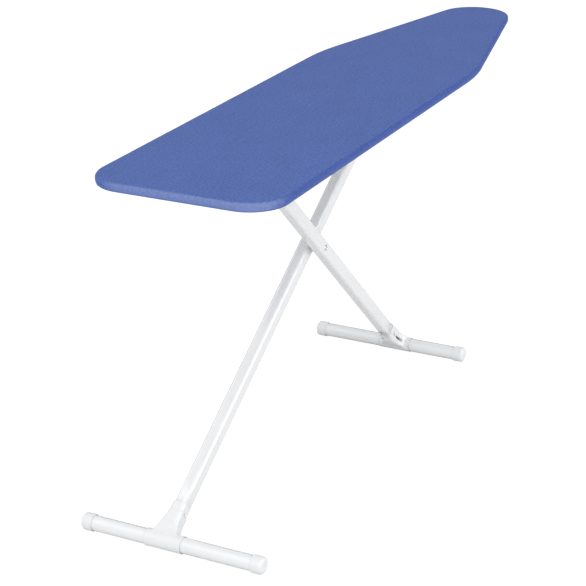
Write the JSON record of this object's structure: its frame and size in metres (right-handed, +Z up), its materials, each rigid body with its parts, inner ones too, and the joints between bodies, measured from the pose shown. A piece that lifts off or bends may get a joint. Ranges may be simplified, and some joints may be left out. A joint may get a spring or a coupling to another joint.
{
  "type": "ironing board",
  "caption": "Free-standing ironing board with a padded cloth-covered steel top, tapered nose, crossed T legs that fold flat, capped tube feet and a spring-return height lever.",
  "frame": {"origin": "on the floor under the middle of the object's bounding box", "axes": "+X towards the tapered nose, +Y to the left side seen from the tail, +Z up"},
  "size_m": [1.438, 0.345, 0.618],
  "materials": {
    "blue_cover": "woven cotton, matt",
    "felt": "needled felt, matt",
    "painted_panel": "satin white enamel",
    "painted_tube": "gloss white enamel",
    "white_plastic": "satin moulded",
    "nylon": "natural nylon",
    "zinc_steel": "bright zinc plate",
    "spring_steel": "drawn wire"
  },
  "bodies": {
    "board": {"cover": "blue_cover", "cover_hem": "blue_cover", "felt_pad": "felt", "top_panel": "painted_panel", "rim_frame": "painted_panel", "left_rail": "painted_panel", "right_rail": "painted_panel", "left_braces": "painted_panel", "right_braces": "painted_panel", "nose_ribs": "painted_panel", "tail_rib": "painted_panel", "rail_rivets": "zinc_steel", "hinge_bolt": "zinc_steel", "hinge_nut": "zinc_steel", "hinge_washer": "zinc_steel", "hinge_spacer": "nylon", "lever_spring": "spring_steel"},
    "height_lever": {"lever_axle": "zinc_steel", "left_lock_arm": "zinc_steel", "right_lock_arm": "zinc_steel", "lever_rod": "zinc_steel", "lever_grip": "white_plastic"},
    "rear_leg": {"rear_leg_tube": "painted_tube", "rear_foot_tube": "painted_tube", "rear_t_joint": "white_plastic", "rear_left_cap": "white_plastic", "rear_right_cap": "white_plastic", "rear_top_plug": "white_plastic", "rear_pivot_bush": "nylon", "rear_joint_screws": "painted_tube", "scissor_rivet": "zinc_steel", "scissor_nut": "zinc_steel", "scissor_washer": "zinc_steel"},
    "front_leg": {"front_leg_tube": "painted_tube", "front_foot_tube": "painted_tube", "front_t_joint": "white_plastic", "front_left_cap": "white_plastic", "front_right_cap": "white_plastic", "front_top_plug": "white_plastic", "front_pivot_bush": "nylon", "front_joint_screws": "painted_tube", "slide_pin": "zinc_steel", "slide_sleeve": "nylon", "slide_rollers": "nylon", "slide_clips": "zinc_steel"}
  },
  "joints": [
    {"name": "rear_leg_fold", "type": "hinge", "parent": "board", "child": "rear_leg", "pos_m": [0.187, 0, 0.574], "axis": [0, 1, 0], "range_deg": [-5.75, 30.13]},
    {"name": "leg_scissor", "type": "hinge", "parent": "rear_leg", "child": "front_leg", "pos_m": [-0.16079, 0, 0.35559], "axis": [0, 1, 0], "range_deg": [-70.63, 13.72]},
    {"name": "lever_squeeze", "type": "hinge", "parent": "board", "child": "height_lever", "pos_m": [-0.3, 0, 0.594], "axis": [0, 1, 0], "range_deg": [0, 4], "stiffness_Nm_per_rad": 1, "springref_deg": -17.19}
  ],
  "couplings": [
    {"joint": "leg_scissor", "follows": "rear_leg_fold", "ratio": -2.3344}
  ]
}
